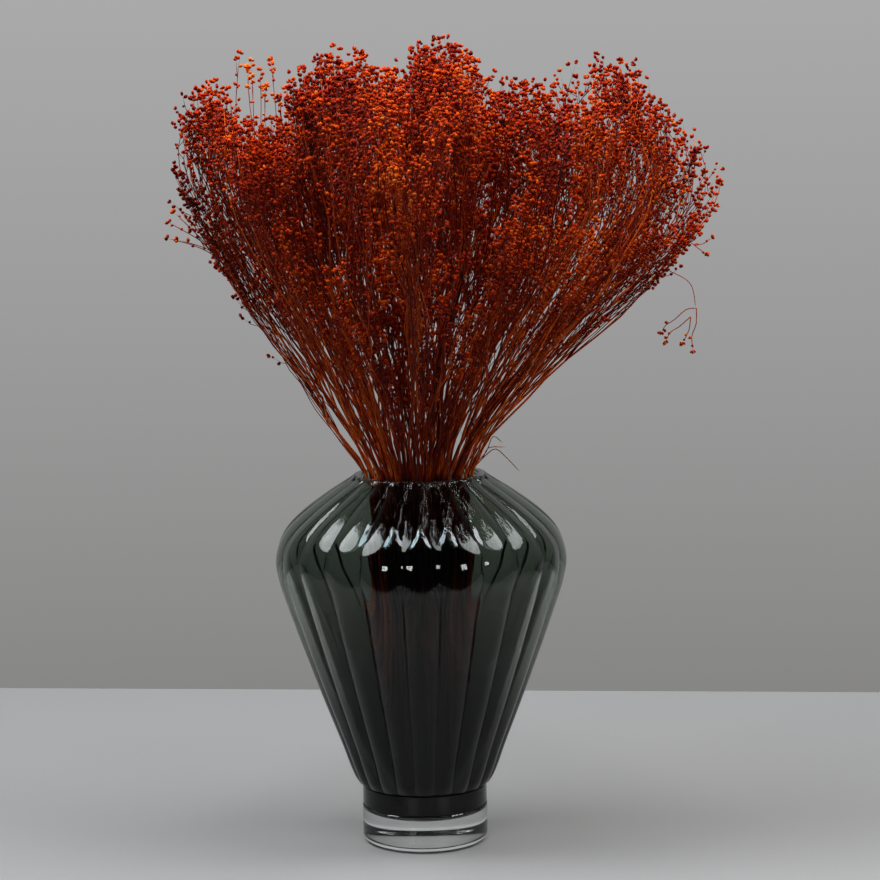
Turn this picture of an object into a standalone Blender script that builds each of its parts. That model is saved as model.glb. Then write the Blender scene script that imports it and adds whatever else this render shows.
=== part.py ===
"""Dried broom bloom: a fan of rust-red sprays standing in a fluted smoke-glass vase.

Metres, +Z up. The origin is the centre of the foot's flat underside, -Y is the front.
Every spray is one plant piece: a stem that stands on the vase's inner floor, rises
through the mouth and forks into branches that end in clubs of small buds.
"""
import math
import random

import bmesh
import bpy

COLLECTION_NAME = "dried_broom_bloom"
SEAT_GAP = 0.0003          # clearance between pieces that rest on each other

# Clear foot
FOOT_RADIUS = 0.0447
FOOT_HEIGHT = 0.0240
FOOT_ROUNDING = 0.0022
FOOT_SIDES = 56

# Smoked bowl
COLLAR_RADIUS = 0.0445     # plain round band between the foot and the flutes
COLLAR_TOP = 0.0410
RIM_HEIGHT = 0.2650
RIM_RADIUS = 0.0463
MOUTH_RADIUS = 0.0413
FLUTES = 22
FLUTE_STEPS = 4            # facets across one flute
FLUTE_DEPTH = 0.032        # depth of the valleys, as a share of the radius
FLUTE_FADE = 0.014         # height over which the flutes rise out of rim and collar
FLOOR_HEIGHT = 0.0400
FLOOR_RADIUS = 0.0350
WALL_AT_RIM = 0.0030
WALL_AT_FLOOR = 0.0052
HOLLOW_SIDES = 40
BOWL_OUTLINE = [           # radius and height of the crests, from rim to collar
    (RIM_RADIUS, RIM_HEIGHT),
    (0.0548, 0.2592),
    (0.0660, 0.2520),
    (0.0824, 0.2400),
    (0.0948, 0.2280),
    (0.1014, 0.2160),
    (0.1036, 0.2040),
    (0.1016, 0.1920),
    (0.0982, 0.1800),
    (0.0858, 0.1440),
    (0.0727, 0.1080),
    (0.0590, 0.0720),
    (0.0539, 0.0575),
    (0.0500, 0.0480),
    (0.0466, 0.0425),
]

# Bunch of sprays
SPRAYS = 40
BRANCHES = 3               # side branches of a spray, beside its leader
GOLDEN_ANGLE = math.pi * (3.0 - math.sqrt(5.0))
STAND_RADIUS = 0.0300      # spread of the stem ends on the vase's floor
MOUTH_SPREAD = 0.0394      # the stems lean on the sides and front of the mouth
MOUTH_SPREAD_BACK = 0.0300 # and leave a gap at its back
REACH_MEAN = 0.1770        # how far the outermost sprays spread
REACH_RIGHT = 0.0260       # further to the right than to the left
REACH_SIDES = 0.0140       # further to the sides than to the front and back
SPREAD_TOP = 0.4800        # height at which the spread is complete
LEAN_MEAN = 0.80           # how much the outer stems lean as they leave the mouth
LEAN_RIGHT = -0.16         # those on the right lean less
UPRIGHT_MEAN = 0.36        # how much they straighten before the spread is complete
UPRIGHT_RIGHT = -0.12      # those on the right straighten less
CROWN_HEIGHT = 0.5800      # top of the leaders in the middle
CROWN_DROP = 0.0560        # how much lower the outermost leaders end
STEM_RADIUS = 0.00125
TWIG_RADIUS = 0.0008
CLUB_RADIUS = 0.0085
CLUB_LENGTH = 0.0580
BRANCH_OFFSET = 0.085      # spread of the side branches, as a share of the bunch
STEM_LEVELS = 5
TIP_STEP = 0.044           # each further branch ends this much lower

SMOKE = (0.035, 0.045, 0.040, 1.0)
CLEAR = (0.80, 0.84, 0.83, 1.0)
DARK_RUST = (0.16, 0.020, 0.005, 1.0)
BRIGHT_RUST = (0.60, 0.110, 0.020, 1.0)


def clear_scene():
    for obj in list(bpy.data.objects):
        bpy.data.objects.remove(obj, do_unlink=True)


def new_collection(name):
    collection = bpy.data.collections.new(name)
    bpy.context.scene.collection.children.link(collection)
    return collection


def new_material(name, colour, roughness):
    material = bpy.data.materials.new(name)
    material.use_nodes = True
    shader = material.node_tree.nodes["Principled BSDF"]
    shader.inputs["Base Color"].default_value = colour
    shader.inputs["Roughness"].default_value = roughness
    shader.inputs["Metallic"].default_value = 0.0
    return material


def mix(start, end, share):
    return start + (end - start) * share


def mix_colour(start, end, share):
    return tuple(mix(a, b, share) for a, b in zip(start, end))


def smooth_step(value):
    value = min(max(value, 0.0), 1.0)
    return value * value * (3.0 - 2.0 * value)


def shade_round(obj, sharp_degrees=35.0):
    obj.data.shade_smooth()
    obj.data.set_sharp_from_angle(angle=math.radians(sharp_degrees))


def mark_as_cutter(obj):
    obj.hide_render = True
    obj.display_type = "WIRE"


# ---------------------------------------------------------------- turned glass

def profile_object(name, points, collection):
    """An open edge chain of (radius, height) points in the XZ plane."""
    mesh = bpy.data.meshes.new(name)
    chain = bmesh.new()
    verts = [chain.verts.new((radius, 0.0, height)) for radius, height in points]
    for first, second in zip(verts, verts[1:]):
        chain.edges.new((first, second))
    chain.to_mesh(mesh)
    chain.free()
    obj = bpy.data.objects.new(name, mesh)
    collection.objects.link(obj)
    return obj


def add_screw(obj, sides):
    screw = obj.modifiers.new("turn", "SCREW")
    screw.angle = math.tau
    screw.steps = sides
    screw.render_steps = sides
    screw.use_merge_vertices = True
    screw.merge_threshold = 0.00001
    screw.use_normal_calculate = False


def evaluated_mesh(obj):
    """The object's mesh with its modifiers or its bevel applied, welded shut."""
    graph = bpy.context.evaluated_depsgraph_get()
    mesh = bpy.data.meshes.new_from_object(obj.evaluated_get(graph))
    welded = bmesh.new()
    welded.from_mesh(mesh)
    bmesh.ops.remove_doubles(welded, verts=welded.verts, dist=0.00001)
    welded.to_mesh(mesh)
    welded.free()
    return mesh


def make_foot(collection):
    """Thick clear disc, its lower edge rounded, flat above and below."""
    edge = [(0.0, FOOT_HEIGHT), (FOOT_RADIUS, FOOT_HEIGHT)]
    for step in range(4):
        turn = math.pi / 2 * step / 3
        radius = FOOT_RADIUS - FOOT_ROUNDING * (1.0 - math.cos(turn))
        height = FOOT_ROUNDING * (1.0 - math.sin(turn))
        edge.append((radius, height))
    edge.append((0.0, 0.0))
    foot = profile_object("vase_foot", edge, collection)
    add_screw(foot, FOOT_SIDES)
    foot.data.materials.append(new_material("clear_glass", CLEAR, 0.03))
    return foot


def wall_at(height):
    share = (height - FLOOR_HEIGHT) / (RIM_HEIGHT - FLOOR_HEIGHT)
    return mix(WALL_AT_FLOOR, WALL_AT_RIM, min(max(share, 0.0), 1.0))


def flute_strength(height):
    """0 at the rim and the collar, 1 over the fluted part between them."""
    below_rim = (RIM_HEIGHT - height) / FLUTE_FADE
    above_collar = (height - COLLAR_TOP) / (0.4 * FLUTE_FADE)
    return smooth_step(below_rim) * smooth_step(above_collar)


def press_flutes(mesh):
    """Draw the turned wall in between the crests, which start at the front."""
    for vert in mesh.vertices:
        angle = math.atan2(vert.co.y, vert.co.x)
        across = (angle + math.pi / 2) * FLUTES / math.tau
        from_crest = 2.0 * (across - round(across))
        depth = FLUTE_DEPTH * flute_strength(vert.co.z) * from_crest ** 2
        vert.co.x *= 1.0 - depth
        vert.co.y *= 1.0 - depth


def hollow_outline():
    """The inside of the bowl, from above the mouth down to the middle of its floor."""
    points = [(0.0, RIM_HEIGHT + 0.02), (MOUTH_RADIUS, RIM_HEIGHT + 0.02), (MOUTH_RADIUS, RIM_HEIGHT)]
    inner = BOWL_OUTLINE[1:-3]
    for index, (radius, height) in enumerate(inner, start=1):
        above = BOWL_OUTLINE[index - 1]
        below = BOWL_OUTLINE[index + 1]
        along = (below[0] - above[0], below[1] - above[1])
        length = math.hypot(*along)
        wall = wall_at(height)
        valley = radius * (1.0 - FLUTE_DEPTH * flute_strength(height))
        points.append((valley + wall * along[1] / length, height - wall * along[0] / length))
    points.append((FLOOR_RADIUS + 0.0045, FLOOR_HEIGHT + 0.0055))
    points.append((FLOOR_RADIUS + 0.0028, FLOOR_HEIGHT + 0.0018))
    points.append((FLOOR_RADIUS, FLOOR_HEIGHT))
    points.append((0.0, FLOOR_HEIGHT))
    return points


def make_bowl(collection, cutters):
    """Fluted shell of smoked glass on a plain round collar, open at the rim."""
    base = FOOT_HEIGHT + SEAT_GAP
    outline = [(0.0, RIM_HEIGHT)] + BOWL_OUTLINE
    outline += [(COLLAR_RADIUS, COLLAR_TOP), (COLLAR_RADIUS, base), (0.0, base)]
    turned = profile_object("bowl_turned", outline, collection)
    add_screw(turned, FLUTES * FLUTE_STEPS)
    mesh = evaluated_mesh(turned)
    bpy.data.objects.remove(turned, do_unlink=True)
    press_flutes(mesh)
    bowl = bpy.data.objects.new("vase_bowl", mesh)
    collection.objects.link(bowl)
    hollow = profile_object("bowl_hollow", hollow_outline(), cutters)
    add_screw(hollow, HOLLOW_SIDES)
    mark_as_cutter(hollow)
    cut = bowl.modifiers.new("hollow", "BOOLEAN")
    cut.operation = "DIFFERENCE"
    cut.object = hollow
    mesh.materials.append(new_material("smoked_glass", SMOKE, 0.05))
    shade_round(bowl)
    return bowl


# ---------------------------------------------------------------- bunch of sprays

def bunch_point(across, along, height):
    """Where the stem line (across, along) of the unit disc runs at this height.

    Every section of the bunch is the same disc drawn larger, so lines that start
    apart on the floor of the vase never meet.
    """
    bearing = math.atan2(along, across)
    mouth_depth = MOUTH_SPREAD if along < 0.0 else MOUTH_SPREAD_BACK
    if height <= RIM_HEIGHT:
        share = (height - FLOOR_HEIGHT) / (RIM_HEIGHT - FLOOR_HEIGHT)
        width = mix(STAND_RADIUS, MOUTH_SPREAD, share)
        depth = mix(STAND_RADIUS, mouth_depth, share)
        return (across * width, along * depth, height)
    reach = REACH_MEAN + REACH_RIGHT * math.cos(bearing) + REACH_SIDES * math.cos(2.0 * bearing)
    share = min((height - RIM_HEIGHT) / (SPREAD_TOP - RIM_HEIGHT), 1.0)
    lean = LEAN_MEAN + LEAN_RIGHT * math.cos(bearing)
    upright = UPRIGHT_MEAN + UPRIGHT_RIGHT * math.cos(bearing)
    drawn_in = upright * share ** 2 * (1.0 - share)
    share = lean * share * (1.0 - share) ** 2 + smooth_step(share) - drawn_in
    width = mix(MOUTH_SPREAD, reach, share)
    depth = mix(mouth_depth, reach, share)
    return (across * width, along * depth, height)


def spread_share(height):
    """How wide the bunch is at this height, against its full width."""
    return bunch_point(1.0, 0.0, height)[0] / bunch_point(1.0, 0.0, SPREAD_TOP)[0]


def tube_mesh(points, radii):
    """A closed six-sided tube through the points, with its own radius at each."""
    curve = bpy.data.curves.new("tube", "CURVE")
    curve.dimensions = "3D"
    curve.bevel_depth = 1.0
    curve.bevel_resolution = 1
    curve.use_fill_caps = True
    spline = curve.splines.new("POLY")
    spline.points.add(len(points) - 1)
    for point, place, radius in zip(spline.points, points, radii):
        point.co = (*place, 1.0)
        point.radius = radius
    obj = bpy.data.objects.new("tube", curve)
    bpy.context.scene.collection.objects.link(obj)
    mesh = evaluated_mesh(obj)
    bpy.data.objects.remove(obj, do_unlink=True)
    return mesh


def club_steps(top):
    """Heights and radii of a bud club that ends at this height."""
    size = mix(0.35, 1.0, spread_share(top))
    length = CLUB_LENGTH * mix(0.6, 1.0, size)
    return [
        (top - length, TWIG_RADIUS),
        (top - 0.55 * length, CLUB_RADIUS * size),
        (top - 0.12 * length, 0.8 * CLUB_RADIUS * size),
        (top, 0.2 * CLUB_RADIUS * size),
    ]


def leader_mesh(across, along, top):
    """The stem from the vase's floor to the tip of its top club."""
    club = club_steps(top)
    start = FLOOR_HEIGHT + SEAT_GAP
    neck = RIM_HEIGHT + 0.0015
    heights = [start, neck]
    for level in range(1, STEM_LEVELS):
        heights.append(mix(neck, club[0][0], level / STEM_LEVELS))
    points = [bunch_point(across, along, height) for height in heights]
    radii = [mix(STEM_RADIUS, TWIG_RADIUS, index / len(heights)) for index in range(len(heights))]
    for height, radius in club:
        points.append(bunch_point(across, along, height))
        radii.append(radius)
    return tube_mesh(points, radii)


def branch_mesh(across, along, fork, top, turn):
    """A side branch that leaves the leader at the fork and ends in its own club."""
    club = club_steps(top)
    heights = [fork, mix(fork, club[0][0], 0.5)] + [height for height, _ in club]
    radii = [0.8 * TWIG_RADIUS, TWIG_RADIUS] + [radius for _, radius in club]
    points = []
    for height in heights:
        offset = BRANCH_OFFSET * math.sqrt((height - fork) / (top - fork))
        side = across + offset * math.cos(turn)
        depth = along + offset * math.sin(turn)
        inside = min(1.0, 1.0 / math.hypot(side, depth))
        points.append(bunch_point(side * inside, depth * inside, height))
    return tube_mesh(points, radii)


def mesh_object(name, meshes, collection):
    """One object that holds all these meshes side by side."""
    joined = bmesh.new()
    for mesh in meshes:
        joined.from_mesh(mesh)
        bpy.data.meshes.remove(mesh)
    result = bpy.data.meshes.new(name)
    joined.to_mesh(result)
    joined.free()
    obj = bpy.data.objects.new(name, result)
    collection.objects.link(obj)
    return obj


def make_spray(index, chance, collection, cutters):
    """One spray: its leader, with the side branches united to it, the first turned outward."""
    radius = math.sqrt((index + 0.5) / SPRAYS)
    bearing = index * GOLDEN_ANGLE
    across = radius * math.cos(bearing)
    along = radius * math.sin(bearing)
    top = CROWN_HEIGHT - CROWN_DROP * radius ** 2 - chance.uniform(0.0, 0.020)
    name = f"broom_spray_{index + 1:02d}"
    spray = mesh_object(name, [leader_mesh(across, along, top)], collection)
    first_turn = bearing + chance.uniform(-0.4, 0.4)
    branches = []
    for branch in range(BRANCHES):
        turn = first_turn + branch * math.tau / BRANCHES
        tip = top - 0.012 - TIP_STEP * branch - chance.uniform(0.0, 0.014)
        fork = RIM_HEIGHT + 0.020 + 0.020 * branch + chance.uniform(0.0, 0.010)
        branches.append(branch_mesh(across, along, fork, tip, turn))
    cutter = mesh_object(f"{name}_branches", branches, cutters)
    mark_as_cutter(cutter)
    union = spray.modifiers.new("branches", "BOOLEAN")
    union.operation = "UNION"
    union.use_self = True
    union.object = cutter
    shade_round(spray, 60.0)
    tone = mix_colour(DARK_RUST, BRIGHT_RUST, chance.uniform(0.2, 1.0))
    spray.data.materials.append(new_material(f"dried_bloom_{index + 1:02d}", tone, 0.55))
    return spray


def main():
    clear_scene()
    collection = new_collection(COLLECTION_NAME)
    cutters = new_collection("cutters")
    make_foot(collection)
    make_bowl(collection, cutters)
    chance = random.Random(11)
    for index in range(SPRAYS):
        make_spray(index, chance, collection, cutters)


main()
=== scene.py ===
# Dried broom bloom in a fluted smoke-glass vase: the fine surface of every piece.
# Metres, +Z up, origin at the centre of the foot's flat underside, -Y to the front.
import math
import random

import bmesh
import bpy
import numpy as np
from mathutils import Matrix, Vector


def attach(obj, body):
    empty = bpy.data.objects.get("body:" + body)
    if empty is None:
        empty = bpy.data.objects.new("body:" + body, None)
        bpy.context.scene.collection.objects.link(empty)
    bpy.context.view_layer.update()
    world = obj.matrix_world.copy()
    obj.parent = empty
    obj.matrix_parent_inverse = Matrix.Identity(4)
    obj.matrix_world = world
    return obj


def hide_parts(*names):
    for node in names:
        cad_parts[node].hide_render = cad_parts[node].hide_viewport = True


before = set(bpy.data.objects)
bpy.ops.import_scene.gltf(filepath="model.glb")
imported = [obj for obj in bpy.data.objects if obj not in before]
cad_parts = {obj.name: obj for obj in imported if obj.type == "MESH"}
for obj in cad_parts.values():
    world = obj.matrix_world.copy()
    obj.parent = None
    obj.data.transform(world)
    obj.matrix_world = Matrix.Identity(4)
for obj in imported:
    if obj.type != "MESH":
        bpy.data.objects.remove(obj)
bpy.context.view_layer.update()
BODY = "root"

# Glass: the solids' own sizes, apart from the flutes' depth, the foot's rounding and the
# bowl's underside, which follow the real glass more closely here
FOOT_RADIUS = 0.0447
FOOT_ROUNDING = 0.0058
FOOT_ROUND_STEPS = 6
SEAT_GAP = 0.0003          # clearance between pieces that rest on each other
COLLAR_RADIUS = 0.0445     # plain round band between the foot and the flutes
COLLAR_TOP = 0.0410
RIM_HEIGHT = 0.2650
RIM_RADIUS = 0.0463
RIM_EDGE = 0.0007          # how far down the rounding of the rim's outside reaches
MOUTH_RADIUS = 0.0413
MOUTH_EDGE = 0.0006        # and that of its inside
SMOKE_UNDERSIDE = [        # radius, height: the smoked glass bulges down into the clear foot
    (0.0440, 0.0268), (0.0400, 0.0238), (0.0320, 0.0214), (0.0200, 0.0201), (0.0100, 0.0198),
]
FLOOR_HEIGHT = 0.0400
FLOOR_RADIUS = 0.0350
FLUTES = 22                # one crest faces the front
FLUTE_INSIDE = 0.90        # depth of the valleys on the inside, against the outside
WALL_AT_RIM = 0.0030
WALL_AT_FLOOR = 0.0052
FLAT_RING = 0.0005         # a ring this close to a rounding keeps the face beside it flat
COLLAR_RING = 0.0010       # and one this far above the underside keeps the collar upright

# Rounded corners: steps outwards and upwards from where the sharp corner would be
MOUTH_CORNER = [(0.0001, -0.0003), (0.0005, 0.0)]
RIM_CORNER = [(-0.0009, 0.0), (-0.0003, -0.0002)]
COLLAR_CORNER = [(-0.0005, 0.0004), (-0.0004, 0.0), (0.0, -0.0004), (0.0, -0.0010)]
FLOOR_CORNER = [(0.0045, 0.0055), (0.0028, 0.0018), (0.0, 0.0)]
BRIM_CORNER = [(-0.0003, 0.0001), (0.0, -0.0003), (0.0, -0.0010)]

FLUTE_FACETS = 12
GLASS_SIDES = FLUTES * FLUTE_FACETS
BOWL_OUTLINE = [           # radius at the crests, height, how deep the valleys are drawn in
    (RIM_RADIUS, RIM_HEIGHT, 0.000),
    (0.0502, 0.2622, 0.040),
    (0.0548, 0.2592, 0.048),
    (0.0660, 0.2520, 0.048),
    (0.0824, 0.2400, 0.040),
    (0.0948, 0.2280, 0.026),
    (0.1014, 0.2160, 0.014),
    (0.1036, 0.2040, 0.028),
    (0.1016, 0.1920, 0.050),
    (0.0982, 0.1800, 0.055),
    (0.0858, 0.1440, 0.053),
    (0.0727, 0.1080, 0.050),
    (0.0590, 0.0720, 0.048),
    (0.0539, 0.0575, 0.046),
    (0.0500, 0.0480, 0.042),
    (0.0466, 0.0425, 0.034),
]
OUTLINE_STEPS = 6          # rings between two points of the bowl's outline
SHARP_FROM = 25.0          # degrees between two faces from which their edge shows
GLASS_IOR = 1.5
SMOKE_HEIGHTS = (0.03, 0.20)   # darkest below the first, lightest above the second

# Directions
SIDEWAYS = np.array((1.0, 0.0, 0.0))
BACKWARD = np.array((0.0, 1.0, 0.0))
UPWARD = np.array((0.0, 0.0, 1.0))
MOSTLY = 0.8               # a direction with less of an axis than this is clear of it
GOLDEN_ANGLE = math.pi * (3.0 - math.sqrt(5.0))

# Bunch, the same layout as the solids
SPRAYS = 40
STAND_RADIUS = 0.0300      # spread of the stem ends on the vase's floor
MOUTH_SPREAD = 0.0394      # the stems lean on the sides and front of the mouth
MOUTH_SPREAD_BACK = 0.0300 # and leave a gap at its back
REACH_MEAN = 0.1770        # how far the outermost sprays spread
REACH_RIGHT = 0.0260       # further to the right than to the left
REACH_SIDES = 0.0140       # further to the sides than to the front and back
SPREAD_TOP = 0.4800        # height at which the spread is complete
LEAN_MEAN = 0.80           # how much the outer stems lean as they leave the mouth
LEAN_RIGHT = -0.16         # those on the right lean less
UPRIGHT_MEAN = 0.36        # how much they straighten before the spread is complete
UPRIGHT_RIGHT = -0.12      # those on the right straighten less

# Crown of the bunch, left to right: how high the tallest tips stand at each distance
CROWN_LINE = [
    (-0.180, 0.470), (-0.168, 0.506), (-0.160, 0.532), (-0.149, 0.547), (-0.132, 0.547),
    (-0.120, 0.530), (-0.088, 0.522), (-0.076, 0.560), (-0.064, 0.571), (-0.047, 0.573),
    (-0.032, 0.558), (-0.010, 0.562), (0.005, 0.577), (0.024, 0.579), (0.039, 0.569),
    (0.046, 0.540), (0.054, 0.549), (0.071, 0.552), (0.090, 0.547), (0.104, 0.541),
    (0.114, 0.562), (0.131, 0.564), (0.144, 0.562), (0.156, 0.550), (0.168, 0.532),
    (0.182, 0.508), (0.196, 0.510), (0.206, 0.503), (0.216, 0.480),
]
CROWN_FALL = 0.045         # lower at the very front and back than in the middle
CROWN_HEADS = 0.44         # share of the heads that reach the crown
CROWN_CLEARANCE = 0.004    # room for the buds above a branch's tip
CROWN_UNEVEN = 0.008       # how far below the crown a head that reaches it may end
HIGHEST_TIER = 0.012       # the other heads hang this far below the crown or further
TIER_DEPTH = 0.035         # depth of the lowest tier
TIER_DEPTH_OUTSIDE = 0.165 # how much deeper it is for the outermost sprays
TIER_LEAST_OUTSIDE = 0.45  # the share of that which all have
TIER_UNEVEN = 0.25
LOWEST_HEAD = 0.345        # height of the lowest heads in the middle of the front
LOWEST_SIDE_HEAD = 0.435   # and everywhere else
LOWEST_UNEVEN = 0.030

# Deep inside is what is both near the middle and well below the crown
INSIDE_WITHIN = 0.35       # share of the bunch's width that is near the middle
INSIDE_FADE = 0.60         # and the share over which this fades out
INSIDE_BELOW = 0.006       # nothing is deep this near the crown
INSIDE_FADE_BELOW = 0.055  # and everything is, this much further down
INSIDE_FULLER = 0.45       # how much larger the buds are there
INSIDE_SPARSER = 0.35      # share of the twigs missing there
INSIDE_PAINTED_SHADE = -0.02       # painted shade deep inside the bunch: how much lighter or darker twigs and buds are there

# What grows on one spray
HEADS = 7                  # branches, each with a head of buds
HEAD_SPREAD = 0.190        # how far a branch leans away from the stem, as a share of the bunch
HEAD_UNEVEN = 0.6
TURN_UNEVEN = 0.4          # radians by which branches and twigs stray from an even turn
OWN_ROOTS = 4              # about so many stand on the vase's floor; the others fork higher up
ROOT_SPREAD = 0.420        # how far from the stem such a branch stands
ROOT_GATHER = 0.75         # and how much nearer the middle than the stem
ROOT_WITHIN = 0.95         # never nearer the glass than this share of the bunch
STANDING_HEIGHTS = [FLOOR_HEIGHT + SEAT_GAP, 0.1500, 0.2150, 0.2580]
STANDING_END = (1.7, 1.7, 1.6, 1.3)    # how much thicker it is at those heights in the vase
STANDING_LEVELS = 16       # its points above the mouth
ABOVE_MOUTH = 0.0015       # the first of them
LEVEL_CURVE = 1.2          # they stand closer together near the mouth
FORKED_LEVELS = 14         # points of a branch that forks off higher up
LOWEST_FORK = 0.285        # heights between which it does
HIGHEST_FORK = 0.380
SHORTEST_FORKED = 0.060
BRANCH_BOW = 1.2           # how much later than evenly a branch leans out
TWIGS = 8                  # thin twigs in a head
TWIG_SPREAD = 0.058        # how far from the branch's tip one may end, as a share of the bunch
TWIG_LEAST_SPREAD = 0.05
TWIG_FORKS = (0.050, 0.210)    # how far below the branch's tip a twig may leave it
TWIG_LOWEST = 0.3          # but not lower than this share of the branch
TWIG_DROP = 0.030          # how far below the branch's tip a twig may end
TWIG_DROP_CURVE = 1.3
TWIG_LEVELS = 8            # points of a twig
SPARSE_BELOW = 0.435       # heads lower than this have fewer twigs, which hang deeper
SPARSE_TWIGS = 5
SPARSE_DROP = 2.0

# How a stem wanders on its way up
SWAYS = (0.015, 0.060)     # slow sway, as a share of the bunch
SWAY_TURN = 6.0            # radians of it from root to tip
SWAY_SETTLED = 0.75        # share of it that is gone at the tip
KINKS = (0.0012, 0.0050)   # short bends in the open, in metres
KINK_LENGTHS = (0.050, 0.140)
KINKS_FROM = 0.002         # height above the rim where they start
KINKS_GROW = 0.030         # height over which they grow
KINKS_EASE = (8.0, 0.02)   # they also grow from the root: how fast, and from what share

# Thickness, and facets round a stalk
STEM_RADIUS = 0.00105
BRANCH_RADIUS = 0.00062
TWIG_RADIUS = 0.00038
TWIGLET_RADIUS = 0.00028
TWIGLET_RADII = (TWIGLET_RADIUS, TWIGLET_RADIUS * 0.9)
THICKNESSES = (0.8, 1.3)   # of a branch, against the radii above
TAPER = 1.2                # above 1 it stays thick for longer
STEM_SIDES = 6
BRANCH_SIDES = 4
TWIG_SIDES = 3

# Buds, and the twiglets that carry them
BUD_RADIUS = 0.00127
BUD_SIZES = (0.72, 1.14)
BUD_SPIN = 1.2
BUD_SIDES = 5
BUD_RINGS = [              # radius and height in bud radii, how much lighter or darker it is there
    (0.0, 0.0, -0.30), (0.84, 0.95, -0.08), (0.90, 1.95, 0.04), (0.0, 2.75, -0.10),
]
TUFT_FIRST_LEAN = (4.0, 20.0)  # degrees: the first bud of a tuft
TUFT_LEAN = (38.0, 75.0)   # those round it
SIDE_BUD_LEAN = (40.0, 72.0)   # and single ones along a stalk
END_TUFTS = (2, 3, 3)      # buds that may sit on a twig's tip
END_BUDS = ((0.74, 0.84), (0.86, 0.96))    # where single ones may sit, as shares of the twig
TWIGLETS = 2
TWIGLET_FROM = 0.92        # the first twiglet leaves the twig here at the latest
TWIGLET_STEP = 0.17
TWIGLET_TURN_UNEVEN = 0.5
TWIGLET_LEAN = (22.0, 48.0)
TWIGLET_LENGTHS = (0.007, 0.016)
TWIGLET_LONGER = 0.3       # how much longer the second is
TWIGLET_RISE = 0.5         # how much it turns up halfway
TWIGLET_TUFT = 2
TWIGLET_BUDS = ((0.45, 0.62), (0.72, 0.88))

# Shades, from 0 for the darkest rust to 1 for the brightest orange
SPRAY_TONE = (0.50, 0.08)  # middle and spread
HEAD_TONE_SPREAD = 0.10
HEAD_TONES = (0.20, 0.82)  # the darkest and the brightest head
TWIG_TONE_SPREAD = 0.05
TWIG_STALK_TONES = (-0.3, 0.2)     # a twig's own stalk, against its buds
BUD_TONE_SPREAD = 0.11
SHADED_MIDDLE_STEM_TONE = 0.42    # stems at the mouth: dark red in the middle as painted shade, orange at both sides as painted light
LIT_OUTER_STEM_TONE = 0.92
MIDDLE_STEMS = 0.30        # share of the bunch that counts as its middle
MIDDLE_STEMS_FADE = 0.50
STEM_TONES = (-0.40, 0.36)
# Painted shade makes the stalks dark inside the vase, darkest in its upper part where the bunch
# and the rim keep the light off; painted light makes them a little lighter in the neck above the
# mouth; towards the crown they turn darker again.
STALK_PAINTED_LIGHT_AND_SHADE = [           # height, how much lighter or darker the stalks are there
    (0.150, -0.15), (0.190, -0.50), (0.220, -1.10), (0.259, -1.10), (0.264, 0.06), (0.360, 0.08),
    (0.430, -0.05), (0.500, -0.15), (0.540, -0.35),
]
FRONT_UNMIRRORED = -0.70   # sprays further forward leave the lamps' reflections in the glass clear

# Low buds: short stalks on the first branches of a spray, between the mouth and the heads
LOW_BUD_BRANCHES = 4
LOW_BUDS = 3               # stalks a branch
LOW_BUD_HEIGHTS = (0.012, 0.150)   # above the rim
LOW_BUD_CURVE = 0.7
LOW_BUD_LEAN = (15.0, 60.0)
LOW_BUD_LENGTHS = (0.003, 0.008)   # of each half of the stalk
LOW_BUD_TONES = (0.35, 0.62)
LOW_TUFTS = (1, 2, 2)
BARE_SIDES = 0.42          # branches that start further out to either side have none

# Loose sprigs clear of the bunch
SPRIG_TONES = (0.45, 0.75)
SPRIG_STEPS = 3
SPRIG_DRIFT = 0.0004       # how far back each point lies behind the one before
SPRIG_BUDS = (0.66, 0.86)
DROOPING_SPRIG = [         # buds in the tuft that ends a stalk, and its points (sideways, up)
    (0, [(0.150, 0.418), (0.168, 0.412), (0.177, 0.406), (0.188, 0.400), (0.193, 0.393),
         (0.195, 0.380)]),
    (3, [(0.195, 0.380), (0.188, 0.379), (0.180, 0.372), (0.174, 0.368), (0.171, 0.363)]),
    (3, [(0.191, 0.374), (0.183, 0.367), (0.177, 0.363), (0.174, 0.357)]),
    (3, [(0.191, 0.374), (0.190, 0.365), (0.186, 0.356)]),
    (3, [(0.195, 0.380), (0.195, 0.369), (0.192, 0.360), (0.193, 0.350)]),
]
SIDE_SPRIG = [
    (3, [(0.172, 0.428), (0.183, 0.430), (0.191, 0.427), (0.195, 0.423), (0.202, 0.423),
         (0.208, 0.427)]),
    (3, [(0.195, 0.423), (0.200, 0.419), (0.204, 0.416)]),
]
FANNED_SPRIG = [
    (3, [(-0.128, 0.408), (-0.139, 0.420), (-0.147, 0.427), (-0.166, 0.433)]),
    (3, [(-0.128, 0.408), (-0.140, 0.421), (-0.155, 0.429), (-0.173, 0.434)]),
    (3, [(-0.139, 0.420), (-0.150, 0.432), (-0.163, 0.440), (-0.172, 0.445)]),
    (3, [(-0.139, 0.420), (-0.152, 0.436), (-0.168, 0.452)]),
    (2, [(-0.139, 0.420), (-0.150, 0.437), (-0.162, 0.451)]),
    (2, [(-0.147, 0.427), (-0.158, 0.445)]),
]
BARE_TWIGS_LEFT = [
    (0, [(-0.039, 0.267), (-0.053, 0.287), (-0.063, 0.300), (-0.073, 0.313), (-0.082, 0.330),
         (-0.092, 0.350)]),
    (0, [(-0.038, 0.268), (-0.050, 0.282), (-0.065, 0.304), (-0.071, 0.321), (-0.078, 0.345)]),
    (0, [(-0.045, 0.300), (-0.038, 0.313), (-0.033, 0.316), (-0.027, 0.305)]),
    (0, [(-0.019, 0.300), (-0.012, 0.316), (-0.005, 0.305), (-0.009, 0.289)]),
]
BARE_TWIGS_RIGHT = [
    (0, [(0.036, 0.268), (0.044, 0.274), (0.049, 0.282), (0.061, 0.282)]),
    (0, [(0.038, 0.268), (0.047, 0.277), (0.054, 0.281), (0.062, 0.274), (0.071, 0.264)]),
    (0, [(0.038, 0.270), (0.047, 0.279), (0.052, 0.290), (0.059, 0.285)]),
]
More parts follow.
